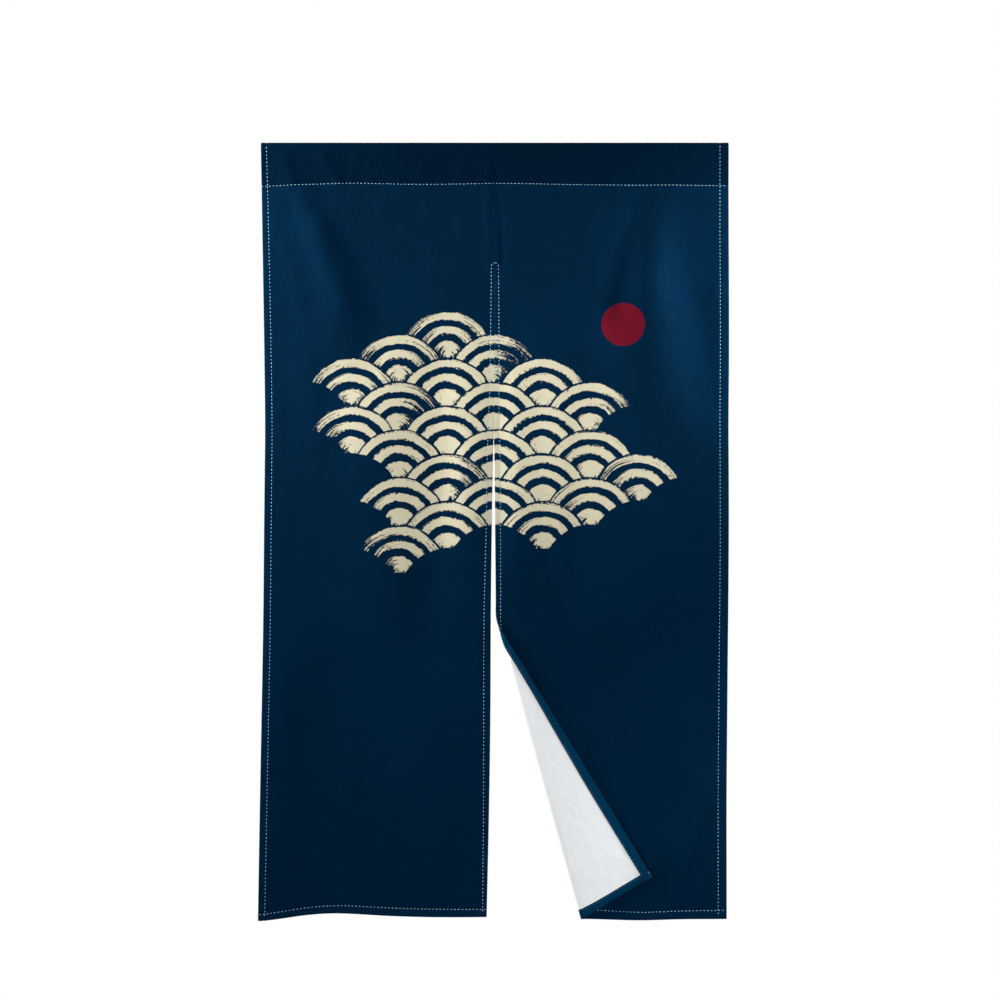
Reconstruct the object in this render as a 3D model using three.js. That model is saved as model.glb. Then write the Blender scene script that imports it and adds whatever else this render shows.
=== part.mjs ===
// A noren, the split curtain of a doorway: one cloth, hemmed along its sides, foot and slit, whose top
// is turned down to the back and sewn, as a pocket for a rod. It hangs as if from a rod, and the slit's
// right-hand lower corner is folded forward over the printed face, so that the plain back shows.
//
// Millimetres, +Z up, the printed face towards -Y, origin at the middle of the top edge.
import * as THREE from 'three';

const { clamp, lerp, smoothstep } = THREE.MathUtils;

// ---- Driving dimensions -------------------------------------------------------------------------

const DROP = 1430; // top edge to foot
const CLOTH = 1.2; // one layer of cloth
const HEM_CLOTH = 2.4; // the turned layers of a hem
const HEM = { left: 14, right: 17, foot: 15.5, slit: 10.5 }; // widths
const HEM_STEP = 0.8; // width of the step where a hem's layers end
const JOINT_GAP = 0.3; // between the pocket and the cloth below its seam

// The rod pocket's section is a drop: round over the rod, narrowing to the seam.
const POCKET = {
  radius: 7, // of the round top, outside
  seamHalf: 1.5, // half of the layers' thickness at the seam
  seamBand: 5, // height of the layers that are sewn flat above the seam
  wallSteps: 3, // facets down each wall
  roundSteps: 8, // facets over the top
  stationGap: 20, // least distance between cross-sections
};

const SLIT = {
  top: 225, // depth where the cloth parts
  hemAtTop: 7.6, // its hems taper towards the top
  hemFullAt: 540, // depth where they reach their full width
};

// The corner's fold: the line of its outer edge, and how the flap lies on the cloth behind it.
const FOLD = {
  startX: 1.8,
  startDepth: 871,
  footX: 159.7,
  footDepth: 1430,
  radius: 5.4, // of the printed face, which is inside the roll
  restGap: 4, // between the faces, away from the roll
  settle: 120, // distance from the roll over which the flap sinks to that gap
};

// Outline: where each edge lies, left or right of the middle line, at a depth below the top.
const EDGES = [
  { depth: 0, left: -430.7, slitLeft: -0.2, slitRight: 0.2, right: 430.3 },
  { depth: 77, left: -429.8, slitLeft: -0.2, slitRight: 0.2, right: 430.6 },
  { depth: 225, left: -427.4, slitLeft: -0.1, slitRight: 0.3, right: 431.4 },
  { depth: 400, left: -424.6, slitLeft: -0.9, slitRight: -0.5, right: 431.6 },
  { depth: 530, left: -423.2, slitLeft: -2.4, slitRight: -1.8, right: 430.4 },
  { depth: 600, left: -423.8, slitLeft: -3.8, slitRight: -0.6, right: 430.8 },
  { depth: 700, left: -424.8, slitLeft: -5.3, slitRight: 0.3, right: 430.9 },
  { depth: 880, left: -426.2, slitLeft: -7.3, slitRight: 1.8, right: 429.6 },
  { depth: 1070, left: -428.2, slitLeft: -8.2, slitRight: 2.2, right: 427.8 },
  { depth: 1220, left: -430.8, slitLeft: -10.4, slitRight: 2.8, right: 426.5 },
  { depth: 1430, left: -434.2, slitLeft: -15.0, slitRight: 3.5, right: 426.4 },
];

// The pocket's seam and the foot of each panel: their depth at a place across.
const SEAM = [
  { x: -430, depth: 81.0 },
  { x: -350, depth: 77.4 },
  { x: -270, depth: 75.0 },
  { x: -130, depth: 77.1 },
  { x: 20, depth: 75.1 },
  { x: 130, depth: 77.1 },
  { x: 430, depth: 79.7 },
];
const LEFT_FOOT = [
  { x: -434, depth: 1431.2 },
  { x: -385, depth: 1425.4 },
  { x: -340, depth: 1421.7 },
  { x: -296, depth: 1420.1 },
  { x: -185, depth: 1423.2 },
  { x: -15, depth: 1425.2 },
];
const RIGHT_FOOT = [
  { x: 3, depth: 1431.6 },
  { x: 160, depth: 1429.2 },
  { x: 267, depth: 1431.4 },
  { x: 344, depth: 1429.4 },
  { x: 427, depth: 1429.1 },
];
const FOOT_SHIFT_FROM = 1000; // depth where the cloth starts to follow its foot's line

// Soft folds: each runs straight from one point to another, stands forward by rise (a valley is
// negative) over a bell of that breadth, and fades in and out over the lengths fadeIn and fadeOut.
const DRAPES = [
  // from the upper left corner
  { x0: -380, depth0: 40, x1: -290, depth1: 260, rise: 9, breadth: 20, fadeIn: 50, fadeOut: 140 },
  { x0: -330, depth0: 95, x1: -232, depth1: 240, rise: -4, breadth: 17, fadeIn: 50, fadeOut: 120 },
  { x0: -348, depth0: 380, x1: -330, depth1: 520, rise: 5, breadth: 22, fadeIn: 90, fadeOut: 160 },
  // from the upper right corner
  { x0: 320, depth0: 60, x1: 286, depth1: 255, rise: 8, breadth: 24, fadeIn: 50, fadeOut: 120 },
  { x0: 290, depth0: 250, x1: 334, depth1: 430, rise: 8, breadth: 34, fadeIn: 90, fadeOut: 200 },
  { x0: 266, depth0: 80, x1: 224, depth1: 300, rise: -6, breadth: 20, fadeIn: 50, fadeOut: 160 },
  { x0: 204, depth0: 80, x1: 176, depth1: 170, rise: 3, breadth: 13, fadeIn: 40, fadeOut: 100 },
  { x0: 402, depth0: 150, x1: 408, depth1: 420, rise: -5, breadth: 28, fadeIn: 80, fadeOut: 160 },
  // above the slit
  { x0: 8, depth0: 20, x1: 9, depth1: 215, rise: -2.4, breadth: 6, fadeIn: 40, fadeOut: 60 },
  { x0: -6, depth0: 40, x1: -5, depth1: 235, rise: 2, breadth: 5, fadeIn: 40, fadeOut: 90 },
  // beside the slit
  { x0: -214, depth0: 430, x1: -206, depth1: 780, rise: 9, breadth: 44, fadeIn: 160, fadeOut: 260 },
  { x0: -112, depth0: 400, x1: -118, depth1: 800, rise: -7, breadth: 28, fadeIn: 120, fadeOut: 260 },
  { x0: -60, depth0: 440, x1: -34, depth1: 760, rise: 5, breadth: 18, fadeIn: 120, fadeOut: 200 },
  { x0: 70, depth0: 400, x1: 72, depth1: 780, rise: 6, breadth: 27, fadeIn: 140, fadeOut: 160 },
  { x0: 142, depth0: 420, x1: 146, depth1: 740, rise: -7, breadth: 32, fadeIn: 140, fadeOut: 260 },
  // towards the foot
  { x0: -436, depth0: 980, x1: -440, depth1: 1430, rise: 13, breadth: 54, fadeIn: 300, fadeOut: 1 },
  { x0: -300, depth0: 1000, x1: -296, depth1: 1430, rise: -8, breadth: 46, fadeIn: 260, fadeOut: 1 },
  { x0: -130, depth0: 1040, x1: -110, depth1: 1430, rise: 7, breadth: 60, fadeIn: 260, fadeOut: 1 },
  { x0: 178, depth0: 960, x1: 182, depth1: 1300, rise: -7, breadth: 52, fadeIn: 200, fadeOut: 200 },
  { x0: 398, depth0: 1170, x1: 310, depth1: 1320, rise: 4, breadth: 22, fadeIn: 80, fadeOut: 90 },
];
const LEAN = { forward: 8, from: 200 }; // the cloth hangs a little forward towards its foot
const DRAPES_FROM = { depth: 20, full: 190 }; // the straight pocket holds the folds' beginnings shallow

// The cloth's facets. Where the fold starts, the rows and the slit hem's columns are pitched so that
// their cells' diagonals run along the fold.
const COLUMNS = { panel: 19, slitHem: 3, flap: 4, roll: 6, blend: 14 };
const ROW_ZONES = [
  { from: 78, to: SLIT.top, rows: 5 },
  { from: SLIT.top, to: 840, rows: 14 },
  { from: 840, to: 1001.2, rows: 13 },
  { from: 1001.2, to: DROP - HEM.foot - HEM_STEP, rows: 11 },
];

// ---- Curves through the tables ------------------------------------------------------------------

// A smooth function through one column of a table, held level past its ends.
function curveThrough(rows, from, to) {
  const at = rows.map((row) => row[from]);
  const values = rows.map((row) => row[to]);
  const curve = new THREE.CubicInterpolant(at, values, 1, [0]);
  return (x) => curve.evaluate(clamp(x, at[0], at[at.length - 1]))[0];
}

const edge = {
  left: curveThrough(EDGES, 'depth', 'left'),
  slitLeft: curveThrough(EDGES, 'depth', 'slitLeft'),
  slitRight: curveThrough(EDGES, 'depth', 'slitRight'),
  right: curveThrough(EDGES, 'depth', 'right'),
};
const seamDepth = curveThrough(SEAM, 'x', 'depth');
const leftFoot = curveThrough(LEFT_FOOT, 'x', 'depth');
const rightFoot = curveThrough(RIGHT_FOOT, 'x', 'depth');

// ---- Where a point of the cloth hangs ------------------------------------------------------------

// How far one drape stands forward at a point of the hanging cloth.
function drapeRise(drape, x, depth) {
  const along = new THREE.Vector2(drape.x1 - drape.x0, drape.depth1 - drape.depth0);
  const length = along.length();
  along.normalize();
  const from = new THREE.Vector2(x - drape.x0, depth - drape.depth0);
  const run = from.dot(along);
  const off = from.cross(along);
  const fadeIn = smoothstep(run, -drape.fadeIn / 2, drape.fadeIn / 2);
  const fadeOut = 1 - smoothstep(run, length, length + drape.fadeOut);
  return drape.rise * fadeIn * fadeOut * Math.exp(-0.5 * (off / drape.breadth) ** 2);
}

// How far forward of the seam's plane the cloth hangs, before any corner is folded.
function hangForward(x, depth) {
  const drapes = DRAPES.reduce((sum, drape) => sum + drapeRise(drape, x, depth), 0);
  const hold = smoothstep(depth, DRAPES_FROM.depth, DRAPES_FROM.full);
  return drapes * hold + LEAN.forward * smoothstep(depth, LEAN.from, DROP);
}

// The fold's directions in the plane of the cloth: along its edge, and out towards the corner.
const foldStart = new THREE.Vector2(FOLD.startX, -FOLD.startDepth);
const foldAlong = new THREE.Vector2(FOLD.footX, -FOLD.footDepth).sub(foldStart).normalize();
const foldOut = new THREE.Vector2(foldAlong.y, -foldAlong.x);
const foldInset = FOLD.radius + CLOTH; // the roll starts this far inside its outer edge
const foldArc = Math.PI * FOLD.radius;

// How far a point lies past the line where the roll starts, in the plane of the cloth.
function pastRoll(x, depth) {
  return new THREE.Vector2(x, -depth).sub(foldStart).dot(foldOut) + foldInset;
}

// x of the line that lies that far past the roll's start, at a depth.
function rollLineX(past, depth) {
  return FOLD.startX + (past - foldInset - (FOLD.startDepth - depth) * foldOut.y) / foldOut.x;
}

// Where the printed face lies: the cloth hangs, and the right panel is folded forward past the roll.
function place(x, depth, isRight) {
  const past = isRight ? Math.max(pastRoll(x, depth), 0) : 0;
  const turn = Math.min(past / FOLD.radius, Math.PI);
  const flap = Math.max(past - foldArc, 0);
  const out = FOLD.radius * Math.sin(turn) - flap;
  const rolled = FOLD.radius * (1 - Math.cos(turn));
  const forward = lerp(rolled, FOLD.restGap, smoothstep(flap, 0, FOLD.settle));
  const flat = new THREE.Vector2(x, -depth).addScaledVector(foldOut, out - past);
  const y = -POCKET.seamHalf - hangForward(flat.x, -flat.y) - forward;
  return new THREE.Vector3(flat.x, y, flat.y);
}

// The direction from the printed face to the back of the cloth.
function backward(x, depth, isRight) {
  const step = 0.25;
  const across = place(x + step, depth, isRight).sub(place(x - step, depth, isRight));
  const up = place(x, depth - step, isRight).sub(place(x, depth + step, isRight));
  return up.cross(across).normalize();
}

// ---- Closed solids from rows of points ------------------------------------------------------------

// A geometry from points and quads of their numbers, each anticlockwise from outside.
function quadGeometry(points, quads) {
  const geometry = new THREE.BufferGeometry().setFromPoints(points);
  geometry.setIndex(quads.flatMap(([a, b, c, d]) => [a, b, c, a, c, d]));
  geometry.computeVertexNormals();
  return geometry;
}

// The same quad seen from behind, cut along the same diagonal.
function fromBehind([a, b, c, d], shift) {
  return [c + shift, b + shift, a + shift, d + shift];
}

// A closed sheet: a grid of cells with a front and a back, and a wall wherever a cell has no
// neighbour. front[row][column] and back[row][column] are points, and isCut says which cells are
// left out.
function sheetGeometry(front, back, isCut) {
  const rows = front.length - 1;
  const columns = front[0].length - 1;
  const behind = (rows + 1) * (columns + 1); // from a front point's number to its back point's
  const isCell = (row, column) => row >= 0 && row < rows && column >= 0 && column < columns
    && !isCut(row, column);
  const quads = [];
  for (let row = 0; row < rows; row += 1) {
    for (let column = 0; column < columns; column += 1) {
      if (!isCell(row, column)) continue;
      const topLeft = row * (columns + 1) + column;
      const corners = [topLeft, topLeft + columns + 1, topLeft + columns + 2, topLeft + 1];
      const isJoined = [
        isCell(row, column - 1),
        isCell(row + 1, column),
        isCell(row, column + 1),
        isCell(row - 1, column),
      ];
      quads.push(corners, fromBehind(corners, behind));
      corners.forEach((corner, side) => {
        const next = corners[(side + 1) % 4];
        if (!isJoined[side]) quads.push([next, corner, corner + behind, next + behind]);
      });
    }
  }
  return quadGeometry([...front.flat(), ...back.flat()], quads);
}

// A closed sleeve: an outer and an inner ring of points at each station, joined along the sleeve
// and across its two open ends.
function sleeveGeometry(outer, inner) {
  const ring = outer[0].length;
  const last = (outer.length - 1) * ring;
  const within = outer.length * ring; // from an outer point's number to its inner point's
  const quads = [];
  for (let k = 0; k < ring; k += 1) {
    const next = (k + 1) % ring;
    for (let here = 0; here < last; here += ring) {
      const there = here + ring;
      const wall = [here + k, there + k, there + next, here + next];
      quads.push(wall, fromBehind(wall, within));
    }
    quads.push([k, next, next + within, k + within]);
    quads.push([last + next, last + k, last + k + within, last + next + within]);
  }
  return quadGeometry([...outer.flat(), ...inner.flat()], quads);
}

// ---- The cloth below the pocket ------------------------------------------------------------------

// Evenly spaced numbers from one to another, without the first.
function spaced(from, to, count) {
  return Array.from({ length: count }, (_, k) => lerp(from, to, (k + 1) / count));
}

// The larger of two numbers, with the change from one to the other rounded off.
function softMax(a, b, blend) {
  return (a + b + Math.hypot(a - b, blend)) / 2;
}

// One row of columns: x, and whether the column lies in a side hem or a slit hem. Right of the slit
// they follow the corner's roll, so that the roll has facets of its own all the way down.
function columnsAt(depth) {
  const [left, slitLeft] = [edge.left(depth), edge.slitLeft(depth)];
  const [slitRight, right] = [edge.slitRight(depth), edge.right(depth)];
  const hem = lerp(SLIT.hemAtTop, HEM.slit, smoothstep(depth, SLIT.top, SLIT.hemFullAt));
  const leftFrom = left + HEM.left + HEM_STEP;
  const leftTo = slitLeft - hem - HEM_STEP;
  const flapFrom = slitRight + hem + HEM_STEP;
  const flapLeast = flapFrom + COLUMNS.flap * (HEM.slit / COLUMNS.slitHem);
  const flapTo = softMax(rollLineX(foldArc, depth), flapLeast, COLUMNS.blend);
  const rollTo = Math.max(rollLineX(0, depth), flapTo + foldArc);
  const rightTo = right - HEM.right - HEM_STEP;

  const inHem = (kind) => (x) => ({ x, hem: kind });
  return [
    ...[left, left + HEM.left].map(inHem('side')),
    ...[leftFrom, ...spaced(leftFrom, leftTo, COLUMNS.panel)].map(inHem('none')),
    ...[slitLeft - hem, slitLeft, slitRight].map(inHem('slit')),
    ...spaced(slitRight, slitRight + hem, COLUMNS.slitHem).map(inHem('slit')),
    ...[flapFrom, ...spaced(flapFrom, flapTo, COLUMNS.flap)].map(inHem('none')),
    ...spaced(flapTo, rollTo, COLUMNS.roll).map(inHem('none')),
    ...spaced(rollTo, rightTo, COLUMNS.panel).map(inHem('none')),
    ...[right - HEM.right, right].map(inHem('side')),
  ];
}

// A row's depth on the hanging cloth: the foot isn't level, and pulls the rows above it along.
function hungDepth(x, depth, isRight) {
  const foot = isRight ? rightFoot(x) : leftFoot(x);
  return depth + (foot - DROP) * smoothstep(depth, FOOT_SHIFT_FROM, DROP - HEM.foot);
}

// The cloth's rows: the seam's, then those of each zone, then the foot's hem.
function clothRows() {
  const zoneDepths = ROW_ZONES.flatMap((zone) => spaced(zone.from, zone.to, zone.rows));
  const rows = [...zoneDepths, DROP - HEM.foot, DROP].map((depth) => ({ depth, isSeam: false }));
  return [{ depth: ROW_ZONES[0].from, isSeam: true }, ...rows];
}

function clothGeometry() {
  const rows = clothRows();
  const slitColumn = columnsAt(DROP).findIndex((column) => column.hem === 'slit') + 1;
  const front = [];
  const back = [];
  rows.forEach((row) => {
    const isSlit = row.depth >= SLIT.top;
    const isFoot = row.depth >= DROP - HEM.foot;
    const faces = [];
    const backs = [];
    columnsAt(row.depth).forEach(({ x, hem }, k) => {
      const isRight = k > slitColumn;
      const depth = row.isSeam ? seamDepth(x) + JOINT_GAP : hungDepth(x, row.depth, isRight);
      const isTurned = isFoot || hem === 'side' || (hem === 'slit' && isSlit);
      const face = place(x, depth, isRight);
      const toBack = backward(x, depth, isRight);
      if (row.isSeam) toBack.setZ(0).normalize();
      faces.push(face);
      backs.push(face.clone().addScaledVector(toBack, isTurned ? HEM_CLOTH : CLOTH));
    });
    front.push(faces);
    back.push(backs);
  });
  const isCut = (row, column) => column === slitColumn && rows[row].depth >= SLIT.top;
  return sheetGeometry(front, back, isCut);
}

// ---- The rod pocket --------------------------------------------------------------------------------

// One ring of the pocket's section at x, set in from the outside by inset: up the front wall, over
// the round top and down the back wall, down to a foot at that depth.
function pocketRing(x, foot, inset) {
  const { radius, seamHalf, wallSteps, roundSteps } = POCKET;
  const seam = seamDepth(x);
  const wallStep = (step) => {
    const depth = lerp(foot, radius, step / wallSteps);
    const half = lerp(seamHalf, radius, (seam - depth) / (seam - radius)) - inset;
    return { depth, half: Math.max(half, JOINT_GAP) };
  };
  const walls = [0, ...spaced(0, wallSteps, wallSteps)].map(wallStep);
  const round = spaced(0, Math.PI, roundSteps).slice(0, -1).map((angle) => ({
    depth: radius - (radius - inset) * Math.sin(angle),
    half: (radius - inset) * Math.cos(angle),
  }));
  const at = ({ depth, half }) => new THREE.Vector3(x, half - hangForward(x, depth), -depth);
  const front = ({ depth, half }) => at({ depth, half: -half });
  return [...walls.map(front), ...round.map(front), ...walls.reverse().map(at)];
}

function pocketGeometry() {
  const columns = columnsAt(0);
  const lastColumn = columns.length - 1;
  const stations = [];
  columns.forEach(({ x }, k) => {
    const gap = Math.min(x - stations[stations.length - 1], columns[lastColumn - 2].x - x);
    if (k < 3 || k > lastColumn - 3 || gap > POCKET.stationGap) stations.push(x);
  });
  const isHem = (x) => x < columns[2].x || x > columns[lastColumn - 2].x;
  const outer = stations.map((x) => pocketRing(x, seamDepth(x), 0));
  const inner = stations.map((x) => {
    const wall = isHem(x) ? HEM_CLOTH : CLOTH;
    return pocketRing(x, seamDepth(x) - POCKET.seamBand, wall);
  });
  return sleeveGeometry(outer, inner);
}

// ---- Assembly ---------------------------------------------------------------------------------------

const PRINT_COLOUR = 0x06304a;

function piece(name, geometry) {
  const material = new THREE.MeshStandardMaterial({
    color: PRINT_COLOUR,
    roughness: 0.85,
    metalness: 0,
  });
  const mesh = new THREE.Mesh(geometry, material);
  mesh.name = name;
  return mesh;
}

const noren = new THREE.Group();
noren.name = 'noren_curtain';
noren.add(piece('rod_pocket', pocketGeometry()));
noren.add(piece('split_cloth', clothGeometry()));

export default noren;
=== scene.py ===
from collections import namedtuple

import bpy
import numpy as np
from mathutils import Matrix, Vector


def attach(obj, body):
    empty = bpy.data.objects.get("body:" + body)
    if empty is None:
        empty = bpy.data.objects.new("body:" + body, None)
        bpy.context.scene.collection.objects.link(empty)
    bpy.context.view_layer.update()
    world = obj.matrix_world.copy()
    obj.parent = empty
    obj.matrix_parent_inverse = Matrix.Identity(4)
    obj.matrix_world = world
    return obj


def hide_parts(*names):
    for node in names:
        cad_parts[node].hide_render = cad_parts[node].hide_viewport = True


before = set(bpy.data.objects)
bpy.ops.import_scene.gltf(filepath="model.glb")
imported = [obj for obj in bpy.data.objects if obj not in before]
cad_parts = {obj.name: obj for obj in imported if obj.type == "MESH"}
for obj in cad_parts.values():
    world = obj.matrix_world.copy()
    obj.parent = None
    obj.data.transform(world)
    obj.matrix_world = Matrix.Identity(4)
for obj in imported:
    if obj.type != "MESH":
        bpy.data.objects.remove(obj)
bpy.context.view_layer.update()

MM = 0.001  # lengths below are in millimetres, with +Z up and the printed face towards -Y

# ---- Driving dimensions, as in the solids ----

DROP = 1430.0  # top edge to foot
SEAM_HALF = 1.5  # from the pocket's middle plane to the printed face at the seam
POCKET_RADIUS = 7.0  # of the pocket's round top, outside
SLIT_TOP = 225.0  # depth where the cloth parts
FOLD_START = (1.8, 871.0)  # the folded corner's outer edge: x and depth
FOLD_FOOT = (159.7, 1430.0)
FLAP_GAP = 4.0  # between the faces, away from the roll
FLAP_SETTLE = 120.0  # distance from the roll over which the flap sinks to that gap
LEAN, LEAN_FROM = 8.0, 200.0  # the cloth hangs a little forward towards its foot
DRAPES_FROM, DRAPES_FULL = 20.0, 190.0  # the straight pocket holds the folds shallow
FOOT_SHIFT_FROM = 1000.0  # depth where the cloth starts to follow its foot's line
FOOT_HEM, SIDE_HEM = 15.5, 13.5  # mean widths

# ---- The cloth itself ----

CLOTH = 0.45  # thickness of one layer
TURN = 0.775  # radius of the printed face round a finished edge
HEM_DEPTH = 2 * TURN  # from the printed face to the hem's back
TURN_STEPS = 6  # points round that edge
UNDER_TURN = 0.5  # radius where the raw edge is turned under
UNDER = 7.0  # width of the raw edge turned under
ROLL = 5.1  # radius of the printed face inside the folded corner's roll
SEAM_STACK = 1.7  # thickness at the pocket's seam
SIDE_STACK = 2.2  # what the side hems add to it
SEAM_EDGE = 3.0  # from the seam down to the pocket's lower edge, at the back
SEAM_TURN = 9.0  # width of its raw edge turned up inside
FRONT_HEM_PAINTED_LIGHT = 0.14  # how much of the hems' painted light, a paler navy, their front takes
STITCH_TO_FOLD = 2.8  # from a line of stitches to the hem's inner fold
LIP_CLOSING = 0.19  # what each of the slit's lips gives of the solids' gap
LIP_GAP = 0.0005  # half the least gap left between them
STEP = 0.25  # over which the cloth's slope is taken


def table(columns, rows):
    """A short table as named columns of numbers."""
    return dict(zip(columns.split(), np.array(rows, dtype=float).T))


# Outline: where each edge lies, left or right of the middle line, at a depth below the top.
EDGES = table("depth left slit_left slit_right right", [
    (0, -430.7, -0.2, 0.2, 430.3),
    (77, -429.8, -0.2, 0.2, 430.6),
    (225, -427.4, -0.1, 0.3, 431.4),
    (400, -424.6, -0.9, -0.5, 431.6),
    (530, -423.2, -2.4, -1.8, 430.4),
    (600, -423.8, -3.8, -0.6, 430.8),
    (700, -424.8, -5.3, 0.3, 430.9),
    (880, -426.2, -7.3, 1.8, 429.6),
    (1070, -428.2, -8.2, 2.2, 427.8),
    (1220, -430.8, -10.4, 2.8, 426.5),
    (1430, -434.2, -15.0, 3.5, 426.4),
])
SEAM = table("x depth", [
    (-430, 81.0), (-350, 77.4), (-270, 75.0), (-130, 77.1), (20, 75.1), (130, 77.1), (430, 79.7),
])
LEFT_FOOT = table("x depth", [
    (-434, 1431.2), (-385, 1425.4), (-340, 1421.7), (-296, 1420.1), (-185, 1423.2), (-15, 1425.2),
])
RIGHT_FOOT = table("x depth", [
    (3, 1431.6), (160, 1429.2), (267, 1431.4), (344, 1429.4), (427, 1429.1),
])

# How far inside its edge each line of stitches runs.
LEFT_STITCH = table("depth inset", [(0, 10.3), (215, 12), (1170, 13), (1420, 12.5)])
RIGHT_STITCH = table("depth inset", [(0, 16.2), (1430, 15.6)])
SLIT_LEFT_STITCH = table("depth inset", [
    (225, 6.4), (378, 7.7), (474, 8.3), (511, 9.8), (732, 10.7), (842, 12.3), (1026, 12.6),
    (1254, 10), (1422, 7.5),
])
SLIT_RIGHT_STITCH = table("depth inset", [
    (225, 6.6), (378, 8.2), (474, 9.1), (511, 10.2), (732, 9.8), (1007, 8.9), (1122, 11.7),
    (1221, 13.8), (1430, 13.8),
])
LEFT_FOOT_STITCH = table("x inset", [(-434, 12.1), (-338, 13.8), (-224, 15), (-15, 14.4)])
RIGHT_FOOT_STITCH = table("x inset", [
    (3, 11.6), (120, 11.8), (180, 16.2), (270, 14.8), (352, 15.4), (427, 16.2),
])

# Soft folds, as in the solids: each runs straight from one point to another, stands forward by
# rise (a valley is negative) over a bell of that breadth, and fades in and out over its ends.
DRAPES = table("x0 depth0 x1 depth1 rise breadth fade_in fade_out", [
    (-380, 40, -290, 260, 9, 20, 50, 140),
    (-330, 95, -232, 240, -4, 17, 50, 120),
    (-348, 380, -330, 520, 5, 22, 90, 160),
    (320, 60, 286, 255, 8, 24, 50, 120),
    (290, 250, 334, 430, 8, 34, 90, 200),
    (266, 80, 224, 300, -6, 20, 50, 160),
    (204, 80, 176, 170, 3, 13, 40, 100),
    (402, 150, 408, 420, -5, 28, 80, 160),
    (8, 20, 9, 215, -2.4, 6, 40, 60),
    (-6, 40, -5, 235, 2, 5, 40, 90),
    (-214, 430, -206, 780, 9, 44, 160, 260),
    (-112, 400, -118, 800, -7, 28, 120, 260),
    (-60, 440, -34, 760, 5, 18, 120, 200),
    (70, 400, 72, 780, 6, 27, 140, 160),
    (142, 420, 146, 740, -7, 32, 140, 260),
    (-436, 980, -440, 1430, 13, 54, 300, 1),
    (-300, 1000, -296, 1430, -8, 46, 260, 1),
    (-130, 1040, -110, 1430, 7, 60, 260, 1),
    (178, 960, 182, 1300, -7, 52, 200, 200),
    (398, 1170, 310, 1320, 4, 22, 80, 90),
])

# Lesser folds and creases that only the thin cloth shows, in the same columns.
CREASES = table("x0 depth0 x1 depth1 rise breadth fade_in fade_out", [
    (-288, 240, -262, 640, 5, 34, 140, 180),
    (-312, 110, -226, 250, 1.8, 17, 50, 120),
    (-334, 150, -296, 330, 4.5, 38, 80, 120),
    (-50, 560, -66, 840, 4, 20, 100, 120),
    (36, 350, 38, 740, 6.5, 17, 100, 150),
    (56, 350, 60, 740, 4, 27, 100, 150),
    (284, 160, 296, 440, 5.5, 25, 80, 120),
    (352, 170, 374, 440, -4, 30, 80, 120),
    (412, 200, 416, 480, 3, 22, 80, 120),
    (396, 1140, 322, 1300, 8, 14, 80, 60),
    (236, 920, 240, 1220, -4, 45, 160, 160),
    (336, 900, 332, 1180, -9, 66, 160, 160),
    (-388, 960, -392, 1430, 4, 19, 200, 1),
    (350, 12, 352, 74, 4.5, 44, 16, 60),
    (-392, 16, -374, 74, 2.4, 8, 16, 16),
    (-320, 16, -288, 74, 2.2, 8, 16, 16),
    (-44, 8, -60, 48, 1.3, 6, 12, 14),
    (-10, 16, -12, 60, 0.6, 4, 12, 14),
    (-12, 40, -11, 215, 2.6, 5, 30, 40),
    (-6, 40, -5, 215, -1.2, 5, 30, 40),
    (-214, 84, -196, 150, 0.8, 7, 16, 40),
    (-128, 84, -122, 170, 0.7, 8, 16, 40),
    (-60, 84, -58, 190, 0.6, 7, 16, 40),
    (110, 84, 104, 150, 0.7, 8, 16, 40),
    (186, 84, 168, 162, 0.9, 7, 16, 40),
    (240, 90, 226, 162, 0.9, 7, 16, 40),
    (-355, 88, -276, 222, 1.2, 9, 30, 60),
    (-404, 100, -356, 320, 1.2, 10, 30, 80),
])

# ---- Curves through the tables ----


def curve_through(knots, values):
    """A smooth function through values at knots, held level past the ends."""
    last = len(knots) - 1

    def curve(x):
        x = np.clip(x, knots[0], knots[-1])
        i1 = np.clip(np.searchsorted(knots, x, side="right"), 1, last)
        i0 = i1 - 1
        before = np.where(i1 > 1, i1 - 2, i1)
        after = np.where(i1 < last, np.minimum(i1 + 1, last), i0)
        half = (knots[i1] - knots[i0]) / 2
        wp = half / (knots[i0] - knots[before])
        wn = half / (knots[after] - knots[i1])
        p = (x - knots[i0]) / (knots[i1] - knots[i0])
        return (
            (-wp * p**3 + 2 * wp * p**2 - wp * p) * values[before]
            + ((1 + wp) * p**3 - (1.5 + 2 * wp) * p**2 + (wp - 0.5) * p + 1) * values[i0]
            + ((-1 - wn) * p**3 + (1.5 + wn) * p**2 + 0.5 * p) * values[i1]
            + (wn * p**3 - wn * p**2) * values[after]
        )

    return curve


solid_lips = [curve_through(EDGES["depth"], EDGES[lip]) for lip in ("slit_left", "slit_right")]
seam_depth = curve_through(*SEAM.values())


def smoothstep(x, low, high):
    t = np.clip((x - low) / (high - low), 0, 1)
    return t * t * (3 - 2 * t)


def slit_lips(depth):
    """x of the slit's left and right edges; where the solids leave a gap they all but touch."""
    left, right = (lip(depth) for lip in solid_lips)
    middle, half = (left + right) / 2, (right - left) / 2
    half = np.maximum(half - LIP_CLOSING * (1 - smoothstep(half, 0.5, 2)), LIP_GAP)
    return middle - half, middle + half


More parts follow.
